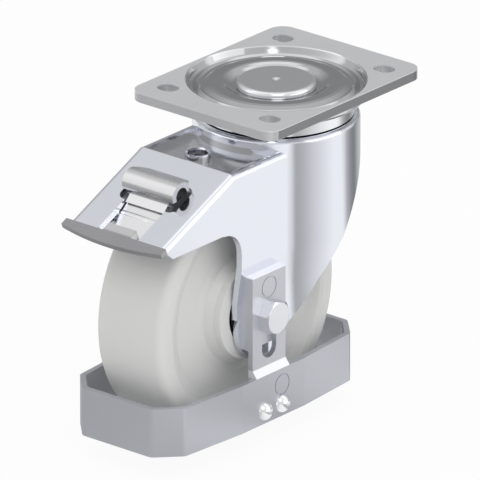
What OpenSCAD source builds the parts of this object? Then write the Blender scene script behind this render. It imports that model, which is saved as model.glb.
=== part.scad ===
// Braked swivel castor with a height-adjustable foot guard.
// Millimetres. Origin: centre of the plate's top face, on the swivel axis.
// +Z up, X along the axle, the wheel trails towards -Y.

/* [Top plate] */
// Plate size along X
plate_x = 110; // [108:1:130]
// Plate size along Y
plate_y = 140; // [136:1:160]
// Plate thickness
plate_t = 6; // [5:0.5:7]
// Corner radius of the plate
plate_r = 10; // [4:1:14]
// Bolt slot spacing along X
slot_dx = 77.5; // [76:0.5:80]
// Bolt slot spacing along Y
slot_dy = 105; // [103:0.5:108]
// Bolt slot width
slot_w = 11; // [9:0.5:12]
// Bolt slot length, end to end
slot_l = 13.5; // [13:0.5:15]

/* [Swivel head] */
// Outer radius of the race ring under the plate
race_r = 46.5; // [46:0.5:48]
// Ball diameter of the upper row
upper_ball = 9.52; // [9:0.02:9.6]
// Free space between two balls of the upper row
upper_space = 0.9; // [0.6:0.1:3]
// Pitch radius of the lower ball row
lower_pitch = 24; // [23.5:0.25:24.5]
// Ball diameter of the lower row
lower_ball = 7.94; // [7.5:0.02:8]
// Number of lower balls
lower_n = 16; // [12:1:18]
// Shank radius of the kingpin
pin_r = 13; // [12:0.5:14]
// Thread radius of the kingpin
pin_thread_r = 10; // [9:0.5:11]
// Radius of the kingpin's head
pin_head_r = 23.6; // [20:0.2:24]

/* [Fork] */
// Sheet thickness of the fork
sheet = 4; // [3.5:0.25:4.5]
// Height of the crown's top face, below the plate's top
crown_z = 20; // [20:0.1:20.4]
// Radius of the crown
crown_r = 49.5; // [49:0.25:51]
// Half width over the housing's flat sides
house_x = 36.5; // [36:0.25:37.5]
// Half width over the legs at the axle
leg_x = 32.8; // [32.5:0.1:33.5]
// Height of the web, below the plate's top
web_z = 27; // [26:0.25:28]
// Distance of the knee in front of the axle
knee_ahead = 26.5; // [24:0.5:29]
// Slope of the front face, degrees
slope = 24; // [22:0.5:25]
// Length of the front face
front_l = 67.3; // [66:0.5:69]

/* [Wheel] */
// Wheel radius
wheel_r = 80; // [78:0.5:81]
// Width of the tread
wheel_w = 50; // [44:1:52]
// Trail of the axle behind the swivel axis
trail = 55.5; // [54:0.5:57]
// Height of the axle, below the plate's top
axle_z = 122; // [121:0.5:124]
// Radius of the axle bolt
axle_r = 6; // [5:0.5:6.5]

/* [Pedal and lock] */
// Distance of the pedal pin in front of the axle
pedal_ahead = 64.5; // [63.5:0.5:65.5]
// Depth of the pedal pin below the plate's top
pedal_z = 54; // [53.5:0.25:54.5]
// Radius of the pedal pin
pedal_pin_r = 4; // [3:0.25:4.5]
// Half width of the pedal's tongue
tongue_x = 14.5; // [12:0.5:15]
// Half width of the pedal's lip
lip_x = 38; // [34:1:39]
// Sheet thickness of the pedal
pedal_t = 3.2; // [2.5:0.1:3.4]
// Number of teeth on the lock ring
lock_teeth = 24; // [16:4:24]

/* [Foot guard] */
// Sheet thickness of guard and straps
guard_t = 3.3; // [2.5:0.1:4]
// Half width of the guard
guard_x = 44.3; // [43:0.1:48]
// Half length of the guard, from the axle
guard_y = 90; // [86:0.5:95]
// Height of the guard's top edge, below the plate's top
guard_top = 157.3; // [155:0.1:160]
// Height of the guard band
guard_h = 30.2; // [25:0.1:34]
// Width of a strap
strap_w = 30; // [26:0.5:34]
// Height of a strap's top end, below the plate's top
strap_top = 94.6; // [92:0.2:100]
// Width of the slot in a strap
strap_slot = 12.9; // [12.5:0.1:14]
// How far the guard can be raised
guard_travel = 20; // [0:1:20]

/* [Hidden] */
$fn = 96;
eps = 0.02;
fit = 0.05;
play = 0.3;
// places along Y that follow the wheel's trail
knee_y = trail + knee_ahead;
pedal_y = trail + pedal_ahead;
curl_y = pedal_y - 11;
leg_front = trail + 19.5;
web_hole_y = knee_y - 10.4;
// the race ring: its pitch circle and the seat in the plate's underside
upper_pitch = race_r - 10;
upper_n = floor(2 * PI * upper_pitch / (upper_ball + upper_space));
seat_out = race_r - 4;
seat_mid = race_r - 6.5;
// swivel head heights, as depths below the plate's top
upper_row = 16.5;
race_under = 14;
race_foot = crown_z - 0.6;
well = plate_t - 1;
groove_play = 0.14;
crown_under = crown_z + sheet;
lower_row = crown_under + 2.8;
race_seat = crown_under + 5;
race_base = race_seat + 4.8;
lock_t = 3;
lock_r = 34;
lock_root = 30;
nut_h = 10;
nut_af = 30;
pin_end = race_base + lock_t + nut_h + 1.5;
// fork
taper_top = 88;
taper_end = 112;
taper = house_x - leg_x;
edge_r = 4;
crown_edge = 3;
side_foot = 62.5;
lobe_r = 21.3;
lobe_dy = 3;
lobe_dz = 8.5;
web_hole_r = 5.9;
collar_r = 7.6;
collar_h = 2.4;
roll_x = 19.4;
window_x = roll_x + 2.2;
slot_x = tongue_x + 0.8;
ear_in = tongue_x + 2;
ear_t = 4;
ear_out = ear_in + ear_t;
deep = 160;
// wheel hub and bearings
hub_x = leg_x - sheet - 0.6;
bearing_w = 12;
bearing_x = 14.5;
bearing_pitch = 15.5;
tube_r = bearing_pitch - 5.5;
bearing_r = bearing_pitch + 5.5;
hub_r = bearing_r + 9.5;
bearing_ball = 6;
// foot guard
strap_out = guard_x - guard_t;
strap_in = strap_out - guard_t;
slot_top = axle_z - strap_slot / 2;
slot_foot = axle_z + guard_travel + strap_slot / 2 + 0.25;
head_h = 7.5;
head_af = 19;
washer_t = 2.5;
rivet_z = 179.5;
rivet_dy = 8;
mark_r = 6.7;
mark_t = 0.4;
// pedal
curl_z = 36;
curl_r = 8.1;
arm_a = 18.5;
lip_y = front_l + 1.1;
lip_arc = 180;
tab_x = 10.3;
arm_t = 4;
arm_l = 7.2;
nose_l = 10.4;
nose_r = 3;
// lock slide
slide_x = 10;
slide_t = 3;
slide_top = 35;
slide_front = pedal_y - 6.4;
slide_end = lock_r + 4.5;

function arc(cx, cy, r, a0, a1, n = 8) =
    [for (i = [0:n]) let (a = a0 + (a1 - a0) * i / n) [cx + r * cos(a), cy + r * sin(a)]];

// a polygon whose corners are rounded by radius r
function unit(v) = v / norm(v);
function fillet(a, b, c, r, n = 6) =
    let (u = unit(a - b), w = unit(c - b), h = acos(u * w) / 2,
         m = b + unit(u + w) * r / sin(h), s = b + u * r / tan(h), e = b + w * r / tan(h),
         a0 = atan2(s[1] - m[1], s[0] - m[0]), a1 = atan2(e[1] - m[1], e[0] - m[0]),
         d = a1 - a0, t = d > 180 ? d - 360 : d < -180 ? d + 360 : d)
    [for (i = [0:n]) m + r * [cos(a0 + t * i / n), sin(a0 + t * i / n)]];
function rounded(p, r) =
    let (k = len(p)) [for (i = [0:k - 1]) each fillet(p[(i + k - 1) % k], p[i], p[(i + 1) % k], r)];
// a polygon, listed anticlockwise, moved inwards by t
function inward(p, t) =
    let (k = len(p))
    [for (i = [0:k - 1])
        let (u = unit(p[i] - p[(i + k - 1) % k]), w = unit(p[(i + 1) % k] - p[i]),
             nu = [-u[1], u[0]], nw = [-w[1], w[0]])
        p[i] + (nu + nw) * t / (1 + nu * nw)];

module slot2d(l, w) {
    square([l - w, w], center = true);
    for (s = [-1, 1]) translate([s * (l - w) / 2, 0]) circle(d = w);
}

module rounded_plate2d(x, y, r) {
    square([x - 2 * r, y], center = true);
    square([x, y - 2 * r], center = true);
    for (sx = [-1, 1], sy = [-1, 1]) translate([sx * (x / 2 - r), sy * (y / 2 - r)]) circle(r = r);
}

// a profile in the YZ plane, extruded along X from x0 to x1
module along_x(x0, x1) {
    translate([x0, 0, 0]) rotate([90, 0, 90]) linear_extrude(height = x1 - x0) children();
}

// a profile in the XZ plane, extruded along -Y from y0 to y1 (both depths in front of the axis)
module along_y(y0, y1) {
    translate([0, -y0, 0]) rotate([90, 0, 0]) linear_extrude(height = y1 - y0) children();
}

module at_axle() {
    translate([0, -trail, -axle_z]) rotate([0, 90, 0]) children();
}

module at_pedal() {
    translate([0, -pedal_y, -pedal_z]) rotate([0, 90, 0]) children();
}

// the frame of the sloping front face: its origin is the knee, X across, -Y down the slope
module at_slope() {
    translate([0, -knee_y, -web_z]) rotate([slope, 0, 0]) children();
}

module hexagon(af, h) {
    cylinder(r = af / 2 / cos(30), h = h, $fn = 6);
}

// a hexagon head with turned corners on its far face
module hex_head(af, h) {
    intersection() {
        hexagon(af, h);
        union() {
            cylinder(r = af, h = h - 1.2);
            translate([0, 0, h - 1.2 - eps]) cylinder(r1 = af / 2 + 1.9, r2 = af / 2 - 0.2, h = 1.2 + eps);
        }
    }
}

module ball_row(n, pitch, d, z) {
    for (i = [0:n - 1]) rotate([0, 0, 360 * i / n]) translate([pitch, 0, z]) sphere(d = d, $fn = 24);
}

module ball_groove(pitch, d, z) {
    rotate_extrude($fn = 120) translate([pitch, z]) circle(d = d + 2 * groove_play, $fn = 48);
}

// the plate with its pressed ring bead and central well
module top_plate() {
    color("silver") difference() {
        union() {
            difference() {
                translate([0, 0, -plate_t]) linear_extrude(height = plate_t)
                    rounded_plate2d(plate_x, plate_y, plate_r);
                translate([0, 0, -plate_t - 1]) cylinder(r = 54, h = plate_t + 2);
            }
            rotate_extrude($fn = 180) polygon([
                [54 + eps, 0], [53.6, 0], [53, -0.6], [52.4, -1.9], [51.6, -3.6], [50.8, -4.6],
                [50, -4.9], [49.2, -4.8], [48.4, -4.3], [47.2, -3.2], [46.4, -2.4], [46, -2.2],
                [45.5, -2.5], [44.6, -3.1], [43.8, -3.2], [42.8, -2.8], [40.6, -1.9], [38.5, -1.5],
                [33, -1.5], [31.6, -1.8], [30, -2.7], [28.2, -4], [26.8, -4.7], [25.4, -well], [pin_r + fit, -well],
                [pin_r + fit, -well - 6], [26, -well - 6], [race_r - 14.5, -7.6], [seat_mid, -7.6], [seat_out, -10.6],
                [50, -10.6], [52.4, -9.8], [53.6, -8.2], [54 + eps, -plate_t]]);
        }
        for (sx = [-1, 1], sy = [-1, 1]) translate([sx * slot_dx / 2, sy * slot_dy / 2, -plate_t - 1])
            linear_extrude(height = plate_t + 2) slot2d(slot_l, slot_w);
    }
}

// the hardened ring under the plate, with its skirt over the upper balls
module upper_race() {
    color("lightgray") difference() {
        rotate_extrude($fn = 180) polygon([
            [race_r - 15.5, -race_under], [race_r - 15.5, -9.2], [race_r - 13.9, -7.6], [seat_mid, -7.6], [seat_out, -10.6], [race_r, -10.6],
            [race_r, -race_foot + 0.5], [race_r - 0.5, -race_foot], [race_r - 2.3, -race_foot],
            [race_r - 2.3, -race_under]]);
        ball_groove(upper_pitch, upper_ball, -upper_row);
    }
}

// rubber ring pressed inside the skirt
module dust_seal() {
    color("dimgray") rotate_extrude($fn = 120)
        polygon([[race_r - 2.3, -race_under - 0.3], [race_r - 2.3, -race_foot + 0.2],
            [race_r - 4.2, -race_foot - 0.1], [race_r - 4.4, -race_foot + 1.2],
            [race_r - 3.3, -race_foot + 2], [race_r - 3.3, -race_under - 0.3]]);
}

// king pin: round head in the plate's well, shank, shoulder and thread
module kingpin() {
    color("gainsboro") difference() {
        rotate_extrude($fn = 120) polygon(concat(
            [[0, -pin_end], [pin_thread_r - 1, -pin_end], [pin_thread_r, -pin_end + 1],
             [pin_thread_r, -race_seat], [pin_r, -race_seat], [pin_r, -well], [pin_head_r - 0.8, -well],
             [pin_head_r, -well + 1]],
            arc(pin_head_r - 2.6, -0.5 - 2.6, 2.6, 0, 90, 6),
            [[0, -0.5]]));
        translate([0, 0, -1.5]) cylinder(r1 = 0.4, r2 = 4, h = 1.5);
    }
}

module lower_race() {
    color("lightgray") difference() {
        rotate_extrude($fn = 120) polygon([
            [pin_thread_r + fit, -race_seat], [30, -race_seat], [31, -race_seat - 1], [31, -race_base + 1],
            [30, -race_base], [pin_thread_r + fit, -race_base]]);
        ball_groove(lower_pitch, lower_ball, -lower_row);
    }
}

// toothed ring that the lock slide drops into
module lock_ring() {
    color("darkgray") translate([0, 0, -race_base - lock_t]) linear_extrude(height = lock_t) difference() {
        circle(r = lock_r, $fn = 120);
        circle(r = pin_thread_r + fit);
        for (i = [0:lock_teeth - 1]) rotate(360 * i / lock_teeth)
            translate([lock_root, -2.3]) square([lock_r, 4.6]);
    }
}

module kingpin_nut() {
    color("gainsboro") translate([0, 0, -race_base - lock_t]) mirror([0, 0, 1]) difference() {
        hex_head(nut_af, nut_h);
        translate([0, 0, -1]) cylinder(r = pin_thread_r + fit, h = nut_h + 2);
    }
}

module upper_balls() {
    color("white") ball_row(upper_n, upper_pitch, upper_ball, -upper_row);
}

module lower_balls() {
    color("white") ball_row(lower_n, lower_pitch, lower_ball, -lower_row);
}

// side outline of the fork, in the YZ plane
module fork_side() {
    front_y = knee_y + front_l * cos(slope);
    front_z = web_z + front_l * sin(slope);
    polygon(concat(
        [[60, 10], [60, -30], [41.9, -30],
         [-trail + lobe_dy + lobe_r * cos(33), -axle_z - lobe_dz - lobe_r * sin(33)],
         [-trail, -axle_z], [-leg_front, -axle_z], [-leg_front, -79]],
        arc(-leg_front - 16, -79, 16, 0, 90, 12),
        [[-leg_front - 17, -side_foot], [-front_y + 6.5, -side_foot], [-front_y + 2, -front_z - 4.4],
         [-front_y, -front_z], [-front_y - 8, -front_z + 8 / tan(slope)], [-front_y - 8, 10]]));
    intersection() {
        translate([-trail + lobe_dy, -axle_z - lobe_dz]) circle(r = lobe_r);
        translate([-leg_front, -deep]) square([80, deep]);
    }
}

// half width of housing and legs as a profile in the XZ plane, set in by t
module fork_section(t, top, r) {
    for (s = [-1, 1]) scale([s, 1]) polygon(concat(
        [[-1, -top - t], [-1, -deep], [leg_x - t, -deep], [leg_x - t, -taper_end], [house_x - t, -taper_top]],
        arc(house_x - t - r, -top - t - r, r, 0, 90, 6)));
}

// the fork's outer form (t = 0) or its hollow (t = sheet)
module fork_mass(t) {
    r = max(edge_r - t, 0.5);
    c = max(crown_edge - t, 0.5);
    rotate_extrude($fn = 180) polygon(concat(
        [[0, -crown_z - t]],
        [for (a = [90:-15:0]) [crown_r - t - c + c * cos(a), -crown_z - t - c + c * sin(a)]],
        [[crown_r - t, -taper_top], [crown_r - taper - t, -taper_end], [crown_r - taper - t, -deep], [0, -deep]]));
    along_y(0, knee_y + eps) fork_section(t, web_z, r);
    intersection() {
        along_y(knee_y, knee_y + 80) translate([-house_x + t, -deep]) square([2 * (house_x - t), deep]);
        at_slope() along_y(-20, 90) for (s = [-1, 1]) scale([s, 1]) polygon(concat(
            [[-1, -t], [-1, -120], [house_x - t + eps, -120]],
            arc(house_x - t - r + eps, -t - r, r, 0, 90, 6)));
    }
}

// opening in the front face: a slot for the tongue and a wide part for the curl
module window2d() {
    translate([-slot_x, -front_l - 20]) square([2 * slot_x, front_l - 14]);
    translate([0, -30]) rounded_plate2d(2 * window_x, 22, 5);
}

// fork: crown, web, sloping housing and two legs, pressed and welded from one sheet
module fork() {
    color("lightsteelblue") difference() {
        union() {
            intersection() {
                difference() {
                    fork_mass(0);
                    fork_mass(sheet);
                }
                along_x(-60, 60) fork_side();
            }
            for (s = [-1, 1]) scale([s, 1, 1]) intersection() {
                along_x(ear_in, ear_out) {
                    translate([-pedal_y, -pedal_z]) circle(r = 8);
                    translate([-pedal_y - 18, -pedal_z - 1]) square([24, 30]);
                }
                fork_mass(sheet / 2);
                at_slope() along_y(36, 64) translate([-60, -60]) square([120, 60]);
            }
            translate([0, -web_hole_y, -web_z - sheet / 2]) cylinder(r = collar_r, h = sheet / 2 + collar_h);
        }
        // ball grooves and the hole for the king pin
        ball_groove(upper_pitch, upper_ball, -upper_row);
        ball_groove(lower_pitch, lower_ball, -lower_row);
        translate([0, 0, -crown_under - 1]) cylinder(r = pin_r + 3, h = sheet + 2);
        // shallow panel in the web, up to the crown, and the hole
        difference() {
            translate([0, -knee_y + 22, -web_z - 1]) linear_extrude(height = 2) rounded_plate2d(2 * house_x - 11, 42, 5);
            translate([0, 0, -web_z - 2]) cylinder(r = crown_r + 0.6, h = 4, $fn = 180);
            translate([0, -web_hole_y, -web_z - 2]) cylinder(r = collar_r, h = 4);
        }
        translate([0, -web_hole_y, -web_z - sheet - 1]) cylinder(r = web_hole_r, h = sheet + collar_h + 2);
        translate([0, -web_hole_y, -web_z + collar_h - 1]) cylinder(r1 = web_hole_r - 0.2, r2 = collar_r - 0.4, h = 1.2);
        at_slope() translate([0, 0, -sheet - 2]) linear_extrude(height = sheet + 3) window2d();
        at_pedal() translate([0, 0, -ear_out - 2]) cylinder(r = pedal_pin_r + fit, h = 2 * ear_out + 4);
        at_axle() translate([0, 0, -60]) cylinder(r = axle_r + fit, h = 120);
    }
}

// channel under the web that carries the lock slide
module slide_guide() {
    color("darkgray") along_y(knee_y - 22, knee_y - 3) difference() {
        translate([-slide_x - 3.4, -slide_top - slide_t - 3]) square([2 * slide_x + 6.8, slide_top + slide_t + 3 - web_z - sheet]);
        translate([-slide_x - play, -slide_top - slide_t - play]) square([2 * slide_x + 2 * play, 30]);
        translate([-6, -60]) square([12, 60]);
    }
}

module pedal_pin() {
    l = ear_out + 1;
    color("gainsboro") at_pedal() {
        translate([0, 0, -l]) cylinder(r = pedal_pin_r, h = 2 * l);
        for (s = [-1, 1]) translate([0, 0, s * (l + 0.8) - 0.8]) cylinder(r = pedal_pin_r + 1, h = 1.6);
    }
}

module axle_bolt() {
    color("gainsboro") at_axle() {
        translate([0, 0, strap_out]) rotate([0, 0, 14]) hex_head(head_af, head_h);
        translate([0, 0, -strap_out - washer_t - 12.5]) cylinder(r = axle_r, h = 2 * strap_out + washer_t + 12.5 + eps);
    }
}

module axle_washer() {
    color("gainsboro") at_axle() translate([0, 0, -strap_out - washer_t]) difference() {
        cylinder(r = 11, h = washer_t);
        translate([0, 0, -1]) cylinder(r = axle_r + fit, h = washer_t + 2);
    }
}

module axle_nut() {
    color("gainsboro") at_axle() translate([0, 0, -strap_out - washer_t]) mirror([0, 0, 1]) difference() {
        hex_head(head_af, 10.5);
        translate([0, 0, -1]) cylinder(r = axle_r + fit, h = 13);
    }
}

// spacer tube that the legs clamp, inside both bearings
module axle_tube() {
    l = leg_x - sheet;
    color("silver") at_axle() translate([0, 0, -l]) difference() {
        cylinder(r = tube_r, h = 2 * l);
        translate([0, 0, -1]) cylinder(r = axle_r + fit, h = 2 * l + 2);
    }
}

module bearing_ring(r0, r1) {
    for (s = [-1, 1]) scale([s, 1, 1]) at_axle() translate([0, 0, bearing_x]) rotate_extrude($fn = 96)
        difference() {
            translate([r0, 0]) square([r1 - r0, bearing_w]);
            translate([bearing_pitch, bearing_w / 2]) circle(d = bearing_ball + 2 * groove_play, $fn = 48);
        }
}

module bearing_inner_rings() {
    color("gainsboro") bearing_ring(tube_r + fit, bearing_pitch - 2.2);
}

module bearing_outer_rings() {
    color("gainsboro") bearing_ring(bearing_pitch + 2.2, bearing_r);
}

module bearing_balls() {
    color("white") for (s = [-1, 1]) scale([s, 1, 1]) at_axle() translate([0, 0, bearing_x + bearing_w / 2])
        for (i = [0:8]) rotate(i * 40) translate([bearing_pitch, 0, 0]) sphere(d = bearing_ball, $fn = 24);
}

module bearing_seals() {
    color("dimgray") for (s = [-1, 1]) scale([s, 1, 1]) at_axle() translate([0, 0, bearing_x + bearing_w - 1.4])
        difference() {
            cylinder(r = bearing_pitch + 2.2, h = 1, $fn = 96);
            translate([0, 0, -1]) cylinder(r = bearing_pitch - 1.9, h = 3);
        }
}

// plates between the legs and the straps; their inner faces follow the legs' taper
module spacer_plates() {
    color("lightgray") for (s = [-1, 1]) scale([s, 1, 1]) difference() {
        along_y(trail - strap_w / 2, trail + strap_w / 2) polygon([
            [leg_x, -axle_z - 19], [strap_in, -axle_z - 19], [strap_in, -strap_top],
            [leg_x + taper * (taper_end - strap_top) / (taper_end - taper_top), -strap_top],
            [leg_x, -taper_end]]);
        at_axle() cylinder(r = axle_r + fit, h = 60);
    }
}

// cast nylon wheel: flat tread, dished sides and a hub with a bearing seat at each end
module wheel_body() {
    h = wheel_w / 2;
    color("whitesmoke") at_axle() rotate_extrude($fn = 180) {
        polygon(concat(
            [for (p = arc(wheel_r - 5, h - 5, 5, 0, 90, 8)) p],
            [[70, h], [67, h - 0.8], [61, h - 5], [57, h - 6.5], [40, h - 6.5], [34, h - 5.5], [hub_r, h - 1],
             [hub_r - 1, hub_x], [bearing_r + fit, hub_x], [bearing_r + fit, bearing_x], [tube_r + 3, bearing_x],
             [tube_r + 3, -bearing_x], [bearing_r + fit, -bearing_x], [bearing_r + fit, -hub_x],
             [hub_r - 1, -hub_x], [hub_r, -h + 1], [34, -h + 5.5], [40, -h + 6.5], [57, -h + 6.5], [61, -h + 5],
             [67, -h + 0.8], [70, -h]],
            arc(wheel_r - 5, -h + 5, 5, -90, 0, 8)));
    }
}

// a YZ profile of the pedal, given in its own frame around the pin
module pedal_side(x) {
    along_x(-x, x) translate([-pedal_y, -pedal_z]) children();
}

// pedal: lip, tongue, rolled heel and a hub with the brake arm
module pedal() {
    color("silver") difference() {
        union() {
            at_pedal() translate([0, 0, -tongue_x]) cylinder(r = pedal_pin_r + 1.1, h = 2 * tongue_x);
            // tongue, down the slot and under the tab
            at_slope() along_x(-tongue_x, tongue_x) polygon([[-33.5, -0.8], [-lip_y + 4, -9.2],
                [-lip_y + 4, -9.2 - pedal_t], [-33.5, -0.8 - pedal_t - 0.4]]);
            // bend from the tongue up into the heel
            along_x(-tongue_x, tongue_x) polygon([[-curl_y - 10.5, -curl_z - 9.2], [-curl_y - 6.6, -curl_z - 5],
                [-curl_y - 6.3, -curl_z - 1.5], [-curl_y - 4.2, -curl_z - 1], [-curl_y - 2.5, -curl_z - 5.5],
                [-curl_y - 2.6, -curl_z - 8.4], [-curl_y - 6, -curl_z - 9.9]]);
            // crescent lip in front of the housing, and the tab that folds down to the tongue
            at_slope() translate([0, 0, 1.5 - pedal_t]) linear_extrude(height = pedal_t) intersection() {
                translate([-lip_x, -lip_y - 20]) square([2 * lip_x, 20]);
                translate([0, lip_arc - lip_y - 9.2]) circle(r = lip_arc, $fn = 180);
            }
            at_slope() translate([-tab_x, -lip_y - 1, 1.5 - pedal_t]) cube([2 * tab_x, 7.4, pedal_t]);
            at_slope() translate([-tab_x, -lip_y + 2.6, -10]) cube([2 * tab_x, 3.8, 10.5]);
            // rolled heel over the window
            intersection() {
                along_x(-roll_x, roll_x) difference() {
                    union() {
                        translate([-curl_y, -curl_z]) circle(r = curl_r);
                        translate([-curl_y, -curl_z + curl_r - pedal_t]) rotate(-15) square([10.5, pedal_t]);
                    }
                    translate([-curl_y, -curl_z]) circle(r = curl_r - pedal_t);
                    translate([-curl_y, -curl_z - 0.6]) rotate(-32) translate([0, -20]) square([20, 20]);
                }
                union() {
                    translate([-60, -curl_y - 21, -curl_z - 2.6]) cube([120, 40, 20]);
                    translate([-16, -curl_y - 21, -60]) cube([32, 40, 60]);
                }
                translate([0, -curl_y - 10, -60]) cylinder(r = 25.5, h = 60);
            }
            // the arm that carries the shoe
            pedal_side(13) rotate(-90 + arm_a) translate([0, -arm_t]) square([arm_l, 2 * arm_t]);
        }
        translate([-40, 0, 0]) at_pedal() cylinder(r = pedal_pin_r + 0.08, h = 80);
    }
}

// hard shoe on the end of the arm
module brake_shoe() {
    color("dimgray") pedal_side(13) rotate(-90 + arm_a) {
        translate([arm_l, -nose_r]) square([nose_l - arm_l, 2 * nose_r]);
        translate([nose_l, 0]) circle(r = nose_r);
    }
}

// sliding bolt under the web: end plate behind the pedal's arm, strip and tooth
module lock_slide() {
    mid = slide_top + slide_t / 2;
    color("darkgray") difference() {
        union() {
            along_x(-slide_x, slide_x) {
                translate([-slide_front, -59]) square([slide_t, 9]);
                polygon([[-slide_front, -50.5], [-knee_y - 2, -slide_top - 0.6], [-knee_y - 3, -slide_top - slide_t - 0.6], [-slide_front, -54]]);
                translate([-knee_y - 3.2, -slide_top - slide_t]) square([knee_y + 3.2 - slide_end, slide_t]);
            }
            translate([-1.7, -slide_end - 0.5, -slide_top - slide_t]) cube([3.4, slide_end + 0.5 - lock_r - 0.7, slide_t]);
        }
        translate([0, -web_hole_y, -mid - 5]) cylinder(r = 3 + fit, h = 10);
    }
}

module adjusting_screw() {
    color("white") translate([0, -web_hole_y, 0]) difference() {
        union() {
            translate([0, 0, -slide_top]) cylinder(r = 5.5, h = slide_top - web_z - sheet - play);
            translate([0, 0, -slide_top - slide_t - 1]) cylinder(r = 3, h = slide_t + 1 + eps);
        }
        translate([0, 0, -web_z - sheet - 2.2]) hexagon(5, 4);
    }
}

// closed band round the wheel: two long sides, two ends and cut corners
function guard_outline() = [[-26.3, -guard_y], [26.3, -guard_y], [guard_x - 3.8, -75.5], [guard_x, -28.5],
    [guard_x, 28.5], [guard_x - 3.8, 75.5], [26.3, guard_y], [-26.3, guard_y], [-guard_x + 3.8, 75.5],
    [-guard_x, 28.5], [-guard_x, -28.5], [-guard_x + 3.8, -75.5]];

module guard_band() {
    color("slategray") difference() {
        translate([0, -trail, -guard_top - guard_h]) linear_extrude(height = guard_h) difference() {
            polygon(rounded(guard_outline(), 5));
            polygon(rounded(inward(guard_outline(), guard_t), 3));
        }
        rivet_places() translate([-20, 0, 0]) rotate([0, 90, 0]) cylinder(r = 3 + fit, h = 40);
        translate([guard_x - mark_t, -trail + rivet_dy, -rivet_z + 12]) rotate([0, 90, 0]) difference() {
            cylinder(r = mark_r, h = 2);
            translate([0, 0, -1]) cylinder(r = mark_r - 0.7, h = 4);
        }
    }
}

module rivet_places() {
    for (s = [-1, 1], d = [-1, 1]) scale([s, 1, 1])
        translate([strap_out, -trail + d * rivet_dy, -rivet_z]) children();
}

// slotted strap, riveted inside the band, with a weld along the band's top edge
module strap(s) {
    color("silver") scale([s, 1, 1]) difference() {
        union() {
            translate([strap_in, -trail - strap_w / 2, -guard_top - guard_h + 1])
                cube([guard_t, strap_w, guard_top + guard_h - 1 - strap_top]);
            along_y(trail - strap_w / 2, trail + strap_w / 2) polygon([
                [strap_out - eps, -guard_top], [guard_x - 0.1, -guard_top], [strap_out - eps, -guard_top + 4.2]]);
        }
        translate([strap_in - 1, -trail, -(slot_top + slot_foot) / 2]) rotate([0, 90, 0])
            linear_extrude(height = guard_t + 2) slot2d(slot_foot - slot_top, strap_slot);
        for (d = [-1, 1]) translate([strap_in - 1, -trail + d * rivet_dy, -rivet_z]) rotate([0, 90, 0])
            cylinder(r = 3 + fit, h = guard_t + 2);
        translate([strap_out - mark_t, -trail, -104]) rotate([0, 90, 0]) difference() {
            cylinder(r = mark_r, h = 2);
            translate([0, 0, -1]) cylinder(r = mark_r - 0.7, h = 4);
        }
    }
}

module near_strap() {
    strap(1);
}

module far_strap() {
    strap(-1);
}

// dome-head rivets, two on each side
module guard_rivets() {
    dome = 4.5;
    base = 5.8;
    ball = (base * base + dome * dome) / (2 * dome);
    color("white") rivet_places() rotate([0, 90, 0]) {
        translate([0, 0, guard_t]) intersection() {
            translate([0, 0, dome - ball]) sphere(r = ball, $fn = 64);
            cylinder(r = base + 1, h = dome + 1);
        }
        translate([0, 0, -guard_t - eps]) cylinder(r = 3, h = 2 * guard_t + 2 * eps);
        translate([0, 0, -guard_t - 1.5]) cylinder(r = 4.5, h = 1.5);
    }
}

top_plate();
upper_race();
dust_seal();
kingpin();
lower_race();
lock_ring();
kingpin_nut();
upper_balls();
lower_balls();
fork();
slide_guide();
pedal_pin();
axle_bolt();
axle_washer();
axle_nut();
axle_tube();
bearing_inner_rings();
spacer_plates();
wheel_body();
bearing_outer_rings();
bearing_balls();
bearing_seals();
pedal();
brake_shoe();
lock_slide();
adjusting_screw();
guard_band();
near_strap();
far_strap();
guard_rivets();
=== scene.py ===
# %% [markdown]
# # A braked swivel castor with a foot guard
# The castor comes in as a finished solid model. This lesson adds the camera, the soft studio, a finish for
# every part and the screw threads, which the solid model leaves out.

# %% Load the solid model
import math

import bpy
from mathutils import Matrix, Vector


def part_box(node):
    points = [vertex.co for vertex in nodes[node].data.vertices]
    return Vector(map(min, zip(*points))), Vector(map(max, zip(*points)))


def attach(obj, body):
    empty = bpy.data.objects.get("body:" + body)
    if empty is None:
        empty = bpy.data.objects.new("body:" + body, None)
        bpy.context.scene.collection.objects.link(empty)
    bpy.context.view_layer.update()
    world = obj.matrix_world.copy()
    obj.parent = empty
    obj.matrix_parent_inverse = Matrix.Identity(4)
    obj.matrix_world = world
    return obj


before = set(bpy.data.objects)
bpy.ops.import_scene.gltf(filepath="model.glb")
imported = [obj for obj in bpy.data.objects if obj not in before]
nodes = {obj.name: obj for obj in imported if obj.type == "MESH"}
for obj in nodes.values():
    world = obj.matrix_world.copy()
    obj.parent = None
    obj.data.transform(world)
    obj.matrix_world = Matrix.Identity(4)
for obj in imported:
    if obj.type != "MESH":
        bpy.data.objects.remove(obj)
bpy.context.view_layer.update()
scene = bpy.context.scene
scene.view_settings.view_transform = "Standard"
MM = 0.001

# %% [markdown]
# ## Camera
# The castor was photographed as a catalogue drawing is: from far away, so that parallel edges stay parallel.
# A very long lens at a long distance gives that look. The camera stands 40 degrees to the right of the front
# and looks down by 22 degrees.

# %% Camera
AZIMUTH, ELEVATION = math.radians(40), math.radians(22)
# metres to the castor, and to the nearest and furthest that the camera sees
DISTANCE, NEAREST, FURTHEST = 7.825, 0.1, 40
# millimetres
LENS, SENSOR = 1000, 36
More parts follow.
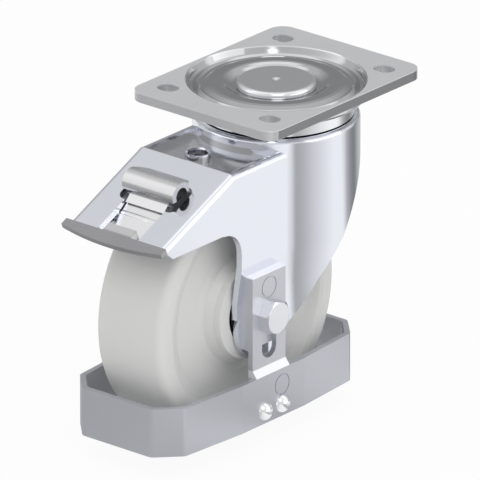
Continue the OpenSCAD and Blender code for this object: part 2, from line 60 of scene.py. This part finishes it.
# the middle of the picture, in millimetres from the origin, along the picture's width and its height
ACROSS, UPWARD = -21.33, -94.95
right = Vector((math.cos(AZIMUTH), math.sin(AZIMUTH), 0))
back = Vector((
    math.sin(AZIMUTH) * math.cos(ELEVATION),
    -math.cos(AZIMUTH) * math.cos(ELEVATION),
    math.sin(ELEVATION),
))
up = back.cross(right)
middle = right * ACROSS * MM + up * UPWARD * MM
camera_data = bpy.data.cameras.new("camera")
camera_data.lens, camera_data.sensor_width = LENS, SENSOR
camera_data.clip_start, camera_data.clip_end = NEAREST, FURTHEST
camera = bpy.data.objects.new("camera", camera_data)
scene.collection.objects.link(camera)
camera.location = middle + back * DISTANCE
camera.rotation_mode = "QUATERNION"
camera.rotation_quaternion = (-back).to_track_quat("-Z", "Y")
scene.camera = camera
print("camera at", [round(c, 3) for c in camera.location])

# %% [markdown]
# ## Node helpers
# A material is a small graph. These helpers add a node, join two sockets and give a node its numbers, so
# that each finish below reads as a short list.

# %% Node helpers
# the Mix node has sockets for each kind of data, and they share names, so they are found by number
FACTOR, NUMBER_A, NUMBER_B, COLOUR_A, COLOUR_B = 0, 2, 3, 6, 7
NUMBER_OUT, COLOUR_OUT = 0, 2


def add(tree, kind, values=None, **settings):
    """Adds a node, sets its properties and then its input numbers."""
    node = tree.nodes.new(kind)
    for name, value in settings.items():
        setattr(node, name, value)
    for name, value in (values or {}).items():
        node.inputs[name].default_value = value
    return node


def join(tree, source, target):
    tree.links.new(source, target)


def ramp(tree, source, stops):
    """A ramp of greys. The stops are (position, grey)."""
    node = add(tree, "ShaderNodeValToRGB")
    while len(node.color_ramp.elements) < len(stops):
        node.color_ramp.elements.new(0.5)
    for element, (position, grey) in zip(node.color_ramp.elements, stops):
        element.position = position
        element.color = (grey, grey, grey, 1)
    join(tree, source, node.inputs["Fac"])
    return node.outputs["Color"]


def maths(tree, operation, *values, clamp=False):
    """A sum on numbers and sockets, in the order that the operation takes them."""
    node = add(tree, "ShaderNodeMath", operation=operation, use_clamp=clamp)
    for socket, value in zip(node.inputs, values):
        if isinstance(value, (int, float)):
            socket.default_value = value
        else:
            join(tree, value, socket)
    return node.outputs[0]


def blend_colours(tree, mask, a, b):
    """Colour a where the mask is 0 and b where it is 1."""
    node = add(tree, "ShaderNodeMix", data_type="RGBA")
    join(tree, mask, node.inputs[FACTOR])
    for socket, value in zip((node.inputs[COLOUR_A], node.inputs[COLOUR_B]), (a, b)):
        if isinstance(value, tuple):
            socket.default_value = (*value, 1)
        else:
            join(tree, value, socket)
    return node.outputs[COLOUR_OUT]


# %% [markdown]
# ## Floor and studio
# Catalogue photographs stand the object on white. The floor is pale and matt. For the camera and for mirror
# reflections most of it glows, and the rest still takes the object's shadow. The camera sees the glow at a
# strength of 1, which is white. No lamp is made brighter for it, so the object keeps its own colours. In a
# mirror the floor is laid out in wedges of grey, as a photographer lays grey cards round polished metal, and
# they give the fork its dark and bright bands.

# %% Floor
# the grey of each wedge, by the share of a turn from +X at which it lies
CARDS = [
    (0.0, 0.72), (0.045, 0.9), (0.085, 1.05), (0.135, 1.05), (0.158, 0.5), (0.185, 0.28), (0.215, 0.2),
    (0.26, 0.5), (0.36, 0.7), (0.45, 0.95), (0.5, 0.95), (0.58, 0.56), (0.69, 0.48), (0.76, 0.6),
    (0.82, 0.6), (0.86, 1.0), (0.905, 1.1), (0.93, 0.42), (0.955, 0.5), (1.0, 0.72),
]
WHITE = (1.0, 1.0, 1.0)
GLOW_SHARE = 0.93
# the width of the floor, and the gap that keeps it from cutting the wheel, in metres
FLOOR_WIDTH, FLOOR_GAP = 30, 0.0002
wheel_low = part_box("wheel_body")[0][2]
bpy.ops.object.select_all(action="DESELECT")
bpy.ops.mesh.primitive_plane_add(size=FLOOR_WIDTH, location=(0, 0, wheel_low - FLOOR_GAP))
floor = bpy.context.object
floor.name = "floor"
paper = bpy.data.materials.new("studio_paper")
paper.use_nodes = True
tree = paper.node_tree
tree.nodes.clear()
matt = add(tree, "ShaderNodeBsdfDiffuse", {"Color": (0.82, 0.82, 0.82, 1)})
glow = add(tree, "ShaderNodeEmission", {"Strength": 1.0})
path = add(tree, "ShaderNodeLightPath")
place = add(tree, "ShaderNodeSeparateXYZ")
join(tree, add(tree, "ShaderNodeTexCoord").outputs["Object"], place.inputs[0])
angle = maths(tree, "ARCTAN2", place.outputs["Y"], place.outputs["X"])
share_of_turn = maths(tree, "FRACT", maths(tree, "ADD", maths(tree, "DIVIDE", angle, math.tau), 1.0))
cards = blend_colours(tree, path.outputs["Is Glossy Ray"], WHITE, ramp(tree, share_of_turn, CARDS))
join(tree, cards, glow.inputs["Color"])
seen = maths(tree, "MAXIMUM", path.outputs["Is Camera Ray"], path.outputs["Is Glossy Ray"])
seen = maths(tree, "MAXIMUM", seen, path.outputs["Is Transmission Ray"])
mixed = add(tree, "ShaderNodeMixShader")
join(tree, maths(tree, "MULTIPLY", seen, GLOW_SHARE), mixed.inputs[0])
join(tree, matt.outputs[0], mixed.inputs[1])
join(tree, glow.outputs[0], mixed.inputs[2])
join(tree, mixed.outputs[0], add(tree, "ShaderNodeOutputMaterial").inputs["Surface"])
floor.data.materials.append(paper)
print("floor at", round(wheel_low, 4))

# %% [markdown]
# Bright metal needs something to mirror, or it looks like paint. So metal sees a room: dark on the side away
# from the photographer, brightest to both sides, and greyer again behind the photographer. A photograph of a
# real room could be wrapped round the scene, but a ramp of greys is easy to change while the render is
# compared. The camera sees plain white, and everything else gets an even, nearly white light.

# %% Sky
# the way to the photographer's end of the room
FRONT = Vector((0.65, -0.72, 0.22)).normalized()
# the grey of the walls, from the far end, at 0, past both sides, at 0.5, to the photographer's end, at 1
WALLS = [
    (0.0, 0.33), (0.1, 0.35), (0.18, 0.52), (0.3, 0.76), (0.42, 0.78), (0.46, 1.2), (0.5, 1.35),
    (0.6, 1.15), (0.75, 0.9), (1.0, 0.75),
]
EVEN_LIGHT = (0.9, 0.9, 0.9)
sky = bpy.data.worlds.new("soft_sky")
sky.use_nodes = True
scene.world = sky
tree = sky.node_tree
tree.nodes.clear()
direction = add(tree, "ShaderNodeTexCoord")
toward = add(tree, "ShaderNodeVectorMath", operation="DOT_PRODUCT")
join(tree, direction.outputs["Generated"], toward.inputs[0])
toward.inputs[1].default_value = FRONT
# the product runs from -1 to 1, and halved and raised by a half it runs from 0 to 1
mirrored = ramp(tree, maths(tree, "MULTIPLY_ADD", toward.outputs["Value"], 0.5, 0.5), WALLS)
path = add(tree, "ShaderNodeLightPath")
tone = blend_colours(tree, path.outputs["Is Glossy Ray"], EVEN_LIGHT, mirrored)
tone = blend_colours(tree, path.outputs["Is Camera Ray"], tone, WHITE)
light = add(tree, "ShaderNodeBackground", {"Strength": 1.0})
join(tree, tone, light.inputs["Color"])
join(tree, light.outputs[0], add(tree, "ShaderNodeOutputWorld").inputs["Surface"])
print("sky of", len(WALLS), "greys")

# %% [markdown]
# A large soft lamp in front, above and to the right gives the forms their modelling. A weaker one stands low
# on the right and lifts the shadows there.

# %% Lamps
LAMP_AIM = Vector((0, -0.05, -0.1))


def lamp(name, place, size, watts):
    """A round lamp that faces the castor. Place and size are in metres."""
    data = bpy.data.lights.new(name, "AREA")
    data.shape, data.size, data.energy = "DISK", size, watts
    thing = bpy.data.objects.new(name, data)
    scene.collection.objects.link(thing)
    thing.location = place
    thing.rotation_mode = "QUATERNION"
    thing.rotation_quaternion = (Vector(place) - LAMP_AIM).to_track_quat("Z", "Y")
    print(name, "of", watts, "watts")


lamp("key_lamp", place=(0.9, -0.9, 1.2), size=0.9, watts=4)
lamp("fill_lamp", place=(1.2, 0.3, 0.2), size=1.2, watts=2)


# %% [markdown]
# ## Shared effects
# Rolled, plated and ground metal is never even: it has a fine grain and faint cloudy patches where the bath
# or the rollers acted a little differently. Two noises make both, and because every finish here needs them,
# cast nylon too for its mottle, they stand in one node group. It gives a colour, a roughness and a height,
# and each finish chooses how much of each.

# %% Group: metal grain
# a noise runs from 0 to 1 round this middle
NOISE_MIDDLE = 0.5
# how much the fine specks change the tone, beside the cloudy patches
SPECK_SHARE = 0.5


def group_in(group, name, kind, value):
    socket = group.interface.new_socket(name=name, in_out="INPUT", socket_type=kind)
    socket.default_value = value


def group_out(group, name, kind):
    group.interface.new_socket(name=name, in_out="OUTPUT", socket_type=kind)


grain = bpy.data.node_groups.new("metal_grain", "ShaderNodeTree")
group_in(grain, "Tone", "NodeSocketColor", (0.8, 0.8, 0.8, 1))
group_in(grain, "Cloud", "NodeSocketFloat", 0.05)
group_in(grain, "Roughness", "NodeSocketFloat", 0.3)
group_in(grain, "Spread", "NodeSocketFloat", 0.06)
group_in(grain, "Grain size", "NodeSocketFloat", 1400.0)
group_in(grain, "Stretch", "NodeSocketVector", (1.0, 1.0, 1.0))
group_out(grain, "Color", "NodeSocketColor")
group_out(grain, "Roughness", "NodeSocketFloat")
group_out(grain, "Height", "NodeSocketFloat")
inside = add(grain, "NodeGroupInput")
coords = add(grain, "ShaderNodeTexCoord")
stretched = add(grain, "ShaderNodeVectorMath", operation="MULTIPLY")
join(grain, coords.outputs["Object"], stretched.inputs[0])
join(grain, inside.outputs["Stretch"], stretched.inputs[1])
fine = add(grain, "ShaderNodeTexNoise", {"Detail": 2.0, "Roughness": 0.6})
join(grain, stretched.outputs[0], fine.inputs["Vector"])
join(grain, inside.outputs["Grain size"], fine.inputs["Scale"])
cloudy = add(grain, "ShaderNodeTexNoise", {"Scale": 38.0, "Detail": 3.0, "Roughness": 0.55})
join(grain, coords.outputs["Object"], cloudy.inputs["Vector"])
patches = maths(grain, "SUBTRACT", cloudy.outputs[0], NOISE_MIDDLE)
specks = maths(grain, "SUBTRACT", fine.outputs[0], NOISE_MIDDLE)
change = maths(grain, "ADD", patches, maths(grain, "MULTIPLY", specks, SPECK_SHARE))
factor = maths(grain, "ADD", maths(grain, "MULTIPLY", change, inside.outputs["Cloud"]), 1.0)
tinted = add(grain, "ShaderNodeVectorMath", operation="SCALE")
join(grain, inside.outputs["Tone"], tinted.inputs[0])
join(grain, factor, tinted.inputs["Scale"])
rougher = maths(grain, "MULTIPLY", change, inside.outputs["Spread"])
rough = maths(grain, "ADD", inside.outputs["Roughness"], rougher, clamp=True)
outside = add(grain, "NodeGroupOutput")
join(grain, tinted.outputs[0], outside.inputs["Color"])
join(grain, rough, outside.inputs["Roughness"])
join(grain, fine.outputs[0], outside.inputs["Height"])
print(grain.name, "has", len(grain.nodes), "nodes")

# %% [markdown]
# Parts that are handled and bolted down collect hair-fine scratches that run in more than one direction. A
# second group draws them where two stretched noises pass their middle value, and gives one mask.

# %% Group: hairline scratches
# the turn and the stretch of each noise
SCRATCH_WAYS = (((0.0, 0.3, 0.0), (1, 9, 1)), ((0.0, 0.0, 0.6), (8, 1, 1)))
# the larger, the thinner the scratches
THINNESS = 160.0
scratch = bpy.data.node_groups.new("hairline_scratches", "ShaderNodeTree")
group_in(scratch, "Density", "NodeSocketFloat", 90.0)
group_out(scratch, "Mask", "NodeSocketFloat")
inside = add(scratch, "NodeGroupInput")
coords = add(scratch, "ShaderNodeTexCoord")
scratches = []
for turn, stretch in SCRATCH_WAYS:
    laid = add(scratch, "ShaderNodeMapping", {"Rotation": turn, "Scale": stretch})
    join(scratch, coords.outputs["Object"], laid.inputs["Vector"])
    lines = add(scratch, "ShaderNodeTexNoise", {"Detail": 1.0, "Distortion": 0.4})
    join(scratch, laid.outputs[0], lines.inputs["Vector"])
    join(scratch, inside.outputs["Density"], lines.inputs["Scale"])
    away = maths(scratch, "ABSOLUTE", maths(scratch, "SUBTRACT", lines.outputs[0], NOISE_MIDDLE))
    faded = maths(scratch, "MULTIPLY", away, THINNESS)
    scratches.append(maths(scratch, "SUBTRACT", 1.0, faded, clamp=True))
outside = add(scratch, "NodeGroupOutput")
join(scratch, maths(scratch, "MAXIMUM", *scratches), outside.inputs["Mask"])
print(scratch.name, "has", len(scratch.nodes), "nodes")


# %% [markdown]
# ## Metal finishes
# Every finish starts from the same graph: the grain group makes colour and roughness, and a little of its
# height feeds a bump. On metal the scratches lighten the colour and roughen it. What differs is the tone, the
# polish and the grain. The tones are written as they look on a screen, because that is how they are matched.

# %% Finish makers
# how deep the grain is, in metres, at a bump strength of 1
GRAIN_DEPTH = 0.0002
# how much paler a scratch is than the metal round it: a factor, and an amount on top
PALER_BY, PALER_ADD = 1.08, 0.02


def seen_as(*tone):
    """The linear colour that renders as this tone on an sRGB screen, from 0 to 1."""
    return tuple(t / 12.92 if t <= 0.04045 else ((t + 0.055) / 1.055) ** 2.4 for t in tone)


def new_finish(name, shader_values):
    """Starts a finish: a material that holds one shader."""
    material = bpy.data.materials.new(name)
    material.use_nodes = True
    tree = material.node_tree
    tree.nodes.clear()
    shader = add(tree, "ShaderNodeBsdfPrincipled", shader_values)
    join(tree, shader.outputs[0], add(tree, "ShaderNodeOutputMaterial").inputs["Surface"])
    return {"material": material, "tree": tree, "shader": shader}


def add_grain(finish, bump, values):
    """Adds the grain group with a finish's own values, and feeds its height to a bump."""
    tree = finish["tree"]
    node = add(tree, "ShaderNodeGroup", values, node_tree=grain)
    relief = add(tree, "ShaderNodeBump", {"Strength": bump, "Distance": GRAIN_DEPTH})
    join(tree, node.outputs["Height"], relief.inputs["Height"])
    join(tree, relief.outputs[0], finish["shader"].inputs["Normal"])
    return node


def metal(name, tone, roughness, cloud=0.05, spread=0.06, size=1400.0, stretch=(1, 1, 1), bump=0.02,
          scratches=0.05, metallic=1.0):
    """A metal finish. It keeps its colour socket, on which painted shade and highlights can build."""
    finish = new_finish(name, {"Metallic": metallic})
    tree, shader = finish["tree"], finish["shader"]
    body = add_grain(finish, bump, {
        "Tone": (*tone, 1), "Cloud": cloud, "Roughness": roughness, "Spread": spread, "Grain size": size,
        "Stretch": stretch,
    })
    hair = add(tree, "ShaderNodeGroup", node_tree=scratch)
    amount = maths(tree, "MULTIPLY", hair.outputs["Mask"], scratches)
    paler = tuple(min(1.0, c * PALER_BY + PALER_ADD) for c in tone)
    finish["colour"] = blend_colours(tree, amount, body.outputs["Color"], paler)
    join(tree, finish["colour"], shader.inputs["Base Color"])
    join(tree, maths(tree, "ADD", body.outputs["Roughness"], amount, clamp=True), shader.inputs["Roughness"])
    return finish


def dress(finish, *names):
    """Gives parts of the solid model their finish."""
    for name in names:
        thing = nodes[name]
        thing.data.materials.clear()
        thing.data.materials.append(finish["material"])
    print(finish["material"].name, "on", ", ".join(names))


# %% [markdown]
# The plate is thick mild steel, zinc plated and left satin. The races and the small rivets are burnished, and
# the riveted head of the king pin is turned, so they mirror more. Ground bearing steel mirrors most of all.

# %% Plate, pin and rings
plate = metal("satin_zinc_plate", seen_as(0.86, 0.863, 0.87), roughness=0.34, cloud=0.04, size=1800,
              scratches=0.06, metallic=0.5)
bright = metal("burnished_zinc", seen_as(0.93, 0.935, 0.945), roughness=0.12, cloud=0.03, spread=0.04,
               size=1600, bump=0.01)
zinc = metal("small_zinc_parts", seen_as(0.88, 0.885, 0.9), roughness=0.22, cloud=0.05, size=1500)
bearing = metal("ground_bearing_steel", seen_as(0.9, 0.9, 0.905), roughness=0.1, cloud=0.02, spread=0.03,
                size=2600, stretch=(1, 1, 9), bump=0.01)
turned_head = metal("turned_pin_head", seen_as(0.9, 0.905, 0.91), roughness=0.2, cloud=0.04, size=1500)
dress(plate, "top_plate")
dress(bright, "upper_race", "lower_race", "guard_rivets")
dress(turned_head, "kingpin")
dress(zinc, "lock_ring", "kingpin_nut", "slide_guide", "pedal_pin", "axle_washer", "axle_nut", "axle_bolt",
      "axle_tube", "lock_slide", "adjusting_screw")
dress(bearing, "upper_balls", "lower_balls", "bearing_balls", "bearing_inner_rings", "bearing_outer_rings")

# %% [markdown]
# The fork is deep drawn from bright sheet: cool white on its flanks. The pedal is such sheet too, tumbled
# until it is dull, and the guard and its straps are heavier steel with a blue-grey cast.

# %% Fork, pedal and guard
fork = metal("drawn_bright_sheet", seen_as(0.9, 0.91, 0.94), roughness=0.12, cloud=0.04, size=1700,
             bump=0.012)
pedal = metal("tumbled_sheet", seen_as(0.84, 0.84, 0.845), roughness=0.26, cloud=0.06, size=1200, bump=0.02)
guard = metal("guard_steel", seen_as(0.735, 0.745, 0.77), roughness=0.36, cloud=0.05, size=1300,
              stretch=(1, 1, 5), bump=0.02, metallic=0.6)
strap = metal("strap_steel", seen_as(0.765, 0.77, 0.795), roughness=0.3, cloud=0.05, size=1300, bump=0.02,
              metallic=0.65)
dress(fork, "fork")
dress(pedal, "pedal")
dress(guard, "guard_band")
dress(strap, "near_strap", "far_strap", "spacer_plates")

# %% [markdown]
# Some places differ in tone from the rest of their part, and these tones are painted light. The web under the
# plate is painted darker: painted shade. The pedal's lip is painted darker too: painted shade. The plate's
# cut edges are painted darker than its rolled face, and darker still on its two long sides: painted shade.
# The strap's chamfer and its top end are painted paler: painted highlights. The plate's ring was burnished as
# it was pressed. Such marks could be painted on a picture. A soft-edged mask of place needs no picture, and
# it is measured from the part's own box where that is possible, so it follows when a size changes.

# %% Masks of place
# the cloudiness of a place with painted shade or a painted highlight
PAINTED_TONE_CLOUD = 0.12


def band(tree, value, low, high, soft):
    """1 between low and high, in metres, fading over soft."""
    rise = add(tree, "ShaderNodeMapRange", {"From Min": low - soft, "From Max": low})
    fall = add(tree, "ShaderNodeMapRange", {
        "From Min": high, "From Max": high + soft, "To Min": 1.0, "To Max": 0.0,
    })
    for node in (rise, fall):
        join(tree, value, node.inputs["Value"])
    return maths(tree, "MULTIPLY", rise.outputs[0], fall.outputs[0])


def paint_light_and_shade(finish, limits, tone, soft=0.0006):
    """Paints shade or a highlight as another tone over what lies inside all the limits (axis, low, high), in
    metres.
    """
    tree = finish["tree"]
    place = add(tree, "ShaderNodeSeparateXYZ")
    join(tree, add(tree, "ShaderNodeTexCoord").outputs["Object"], place.inputs[0])
    mask = None
    for axis, low, high in limits:
        part = band(tree, place.outputs[axis], low, high, soft)
        mask = part if mask is None else maths(tree, "MULTIPLY", mask, part)
    inner = add(tree, "ShaderNodeGroup", {"Tone": (*tone, 1), "Cloud": PAINTED_TONE_CLOUD}, node_tree=grain)
    finish["colour"] = blend_colours(tree, mask, finish["colour"], inner.outputs["Color"])
    join(tree, finish["colour"], finish["shader"].inputs["Base Color"])


def burnish(finish, radius, roughness, metallic, soft=0.0004):
    """Polishes everything nearer to the Z axis than radius, in metres."""
    tree = finish["tree"]
    flat = add(tree, "ShaderNodeVectorMath", operation="MULTIPLY")
    join(tree, add(tree, "ShaderNodeTexCoord").outputs["Object"], flat.inputs[0])
    flat.inputs[1].default_value = (1, 1, 0)
    reach = add(tree, "ShaderNodeVectorMath", operation="LENGTH")
    join(tree, flat.outputs[0], reach.inputs[0])
    below_zero = -1.0
    mask = band(tree, reach.outputs["Value"], below_zero, radius, soft)
    for socket, value in (("Roughness", roughness), ("Metallic", metallic)):
        target = finish["shader"].inputs[socket]
        mix = add(tree, "ShaderNodeMix", {NUMBER_A: target.default_value, NUMBER_B: value})
        join(tree, mask, mix.inputs[FACTOR])
        if target.links:
            join(tree, target.links[0].from_socket, mix.inputs[NUMBER_A])
        join(tree, mix.outputs[NUMBER_OUT], target)


# %% Painted shade, painted highlights and burnished places
# all in metres; beyond is any short way outside the part
BEYOND = 0.003
WEB_PAINTED_SHADE = [("X", -0.0305, 0.0305), ("Y", -0.0815, -0.046), ("Z", -0.0288, -0.0262)]
LIP_SHADE_DEPTH = 0.0083
RING_RADIUS = 0.0535
# below the plate's top face: where the painted shade on its cut edge starts and ends, and the same for its
# two long sides
EDGE_SHADE_START, EDGE_SHADE_END = 0.0009, 0.0056
SIDE_SHADE_START, SIDE_SHADE_END = 0.0006, 0.0058
# how far in a long side's painted shade, the painted highlight on the strap's top end and that on its chamfer
# reach
SIDE_SHADE_DEPTH, END_HIGHLIGHT_DEPTH, CHAMFER_HIGHLIGHT = 0.0004, 0.0006, 0.0039
(plate_left, _, _), (plate_right, _, plate_top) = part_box("top_plate")
pedal_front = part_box("pedal")[0][1]
guard_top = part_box("guard_band")[1][2]
strap_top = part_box("near_strap")[1][2]
# the fork's web under the plate is painted darker: painted shade
paint_light_and_shade(fork, WEB_PAINTED_SHADE, seen_as(0.76, 0.765, 0.775))
# the pedal's lip is painted darker: painted shade
paint_light_and_shade(pedal, [("Y", pedal_front - BEYOND, pedal_front + LIP_SHADE_DEPTH)], seen_as(0.66, 0.66, 0.67), soft=0.0015)
# the plate's cut edge is painted darker all round, and its two long sides darker still: painted shade
paint_light_and_shade(plate, [("Z", plate_top - EDGE_SHADE_END, plate_top - EDGE_SHADE_START)], seen_as(0.76, 0.762, 0.77), soft=0.0004)
shaded_cut_face = ("Z", plate_top - SIDE_SHADE_END, plate_top - SIDE_SHADE_START)
shaded_left_side = ("X", plate_left - BEYOND, plate_left + SIDE_SHADE_DEPTH)
shaded_right_side = ("X", plate_right - SIDE_SHADE_DEPTH, plate_right + BEYOND)
for side in (shaded_left_side, shaded_right_side):
    paint_light_and_shade(plate, [side, shaded_cut_face], seen_as(0.5, 0.502, 0.51), soft=0.0003)
burnish(plate, RING_RADIUS, roughness=0.08, metallic=1.0)
# the strap's chamfer and its top end are painted paler: painted highlights
paint_light_and_shade(strap, [("Z", guard_top, guard_top + CHAMFER_HIGHLIGHT)], seen_as(0.95, 0.95, 0.96))
paint_light_and_shade(strap, [("Z", strap_top - END_HIGHLIGHT_DEPTH, strap_top + BEYOND)], seen_as(0.97, 0.975, 1.0), soft=0.0002)
print("plate from", round(plate_left, 4), "to", round(plate_right, 4))

# %% [markdown]
# ## Cast nylon wheel
# Cast nylon is milky: light enters a little way and comes back, so shadows on it are soft. It has a
# faint mottle from casting, and a fine grain that is a little longer along the axle. Subsurface light makes
# it milky, and the grain group that the metals use makes the mottle.

# %% Nylon and rubber
nylon = new_finish("cast_nylon", {
    "Metallic": 0.0, "IOR": 1.5, "Subsurface Weight": 0.25, "Subsurface Scale": 0.006,
    "Subsurface Radius": (1.0, 0.95, 0.9),
})
mottle = add_grain(nylon, 0.04, {
    "Tone": (*seen_as(0.84, 0.84, 0.835), 1), "Cloud": 0.035, "Roughness": 0.4, "Spread": 0.12,
    "Grain size": 900.0, "Stretch": (0.35, 1, 1),
})
join(nylon["tree"], mottle.outputs["Color"], nylon["shader"].inputs["Base Color"])
join(nylon["tree"], mottle.outputs["Roughness"], nylon["shader"].inputs["Roughness"])
dress(nylon, "wheel_body")
# rubber is the metal graph with no metal in it
rubber = metal("black_rubber", (0.06, 0.06, 0.065), roughness=0.6, cloud=0.3, spread=0.2, size=900, bump=0.15,
               scratches=0.02, metallic=0.0)
dress(rubber, "dust_seal", "bearing_seals", "brake_shoe")

# %% [markdown]
# ## Screw threads
# The solid model leaves the bolt and the king pin plain. A rolled thread is one ridge wound into a helix, so
# a small triangle is drawn beside the axis and the Screw modifier winds it. A bump could draw the lines, but
# not the toothed outline. Only the turns that show are made: the ends that stand out of their nuts.

# %% Thread helpers
# edges that meet at less than this angle are shaded smooth
SMOOTH_BELOW = math.radians(35)
STEPS_IN_A_TURN = 40
# the ridge's triangle: its radius as a share of the pitch, and the turn that points it away from the axis
RIDGE_SHARE = 0.55
RIDGE_TURN = (math.radians(90), math.radians(90), 0)


def only(thing):
    """Selects one object and makes it active, because an operator acts on all that is selected."""
    bpy.ops.object.select_all(action="DESELECT")
    thing.select_set(True)
    bpy.context.view_layer.objects.active = thing


def settle(thing, body, finish):
    """Applies a piece's place, shades it, gives it its finish and hangs it on its body."""
    only(thing)
    bpy.ops.object.transform_apply(location=True, rotation=True, scale=True)
    bpy.ops.object.shade_smooth_by_angle(angle=SMOOTH_BELOW)
    thing.data.materials.clear()
    thing.data.materials.append(finish["material"])
    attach(thing, body)
    print(thing.name, len(thing.data.polygons), "faces")


def thread(name, radius, pitch, turns, place, turn, body, finish):
    """A helical ridge of the given turns. It starts at place and runs along the object's turned Z axis."""
    bpy.ops.object.select_all(action="DESELECT")
    bpy.ops.mesh.primitive_circle_add(
        vertices=3, radius=pitch * RIDGE_SHARE, fill_type="NOTHING", rotation=RIDGE_TURN)
    ridge = bpy.context.object
    ridge.name = ridge.data.name = name
    bpy.ops.object.transform_apply(location=False, rotation=True, scale=False)
    bpy.ops.object.mode_set(mode="EDIT")
    bpy.ops.mesh.select_all(action="SELECT")
    bpy.ops.transform.translate(value=(radius, 0, 0))
    bpy.ops.object.mode_set(mode="OBJECT")
    wind = ridge.modifiers.new("wind", "SCREW")
    wind.axis, wind.screw_offset, wind.iterations = "Z", pitch, turns
    wind.steps = wind.render_steps = STEPS_IN_A_TURN
    wind.use_merge_vertices = False
    only(ridge)
    bpy.ops.object.modifier_apply(modifier=wind.name)
    # the two ends of the ridge are open triangles: they are closed, and then all faces point outwards
    bpy.ops.object.mode_set(mode="EDIT")
    bpy.ops.mesh.select_all(action="SELECT")
    bpy.ops.mesh.fill_holes(sides=4)
    bpy.ops.mesh.select_all(action="SELECT")
    bpy.ops.mesh.normals_make_consistent(inside=False)
    bpy.ops.object.mode_set(mode="OBJECT")
    ridge.location, ridge.rotation_euler = place, turn
    settle(ridge, body, finish)


# %% The two threads that show
PITCH = 1.0 * MM
BOLT_THREAD_R, PIN_THREAD_R = 5.75 * MM, 9.7 * MM
# how far the first ridge stands in from the end of the bolt and of the pin
BOLT_LEAD, PIN_LEAD = 0.7 * MM, 1.0 * MM
ALONG_X, ALONG_Z = (0, math.radians(90), 0), (0, 0, 0)
bolt_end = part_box("axle_bolt")[0][0]
pin_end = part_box("kingpin")[0][2]
tube_low, tube_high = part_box("axle_tube")
axle_y, axle_z = [(low + high) / 2 for low, high in zip(tube_low, tube_high)][1:]
thread("axle_thread", BOLT_THREAD_R, PITCH, turns=2, place=(bolt_end + BOLT_LEAD, axle_y, axle_z),
       turn=ALONG_X, body="swivel", finish=zinc)
thread("pin_thread", PIN_THREAD_R, PITCH, turns=1, place=(0, 0, pin_end + PIN_LEAD), turn=ALONG_Z,
       body="plate", finish=zinc)
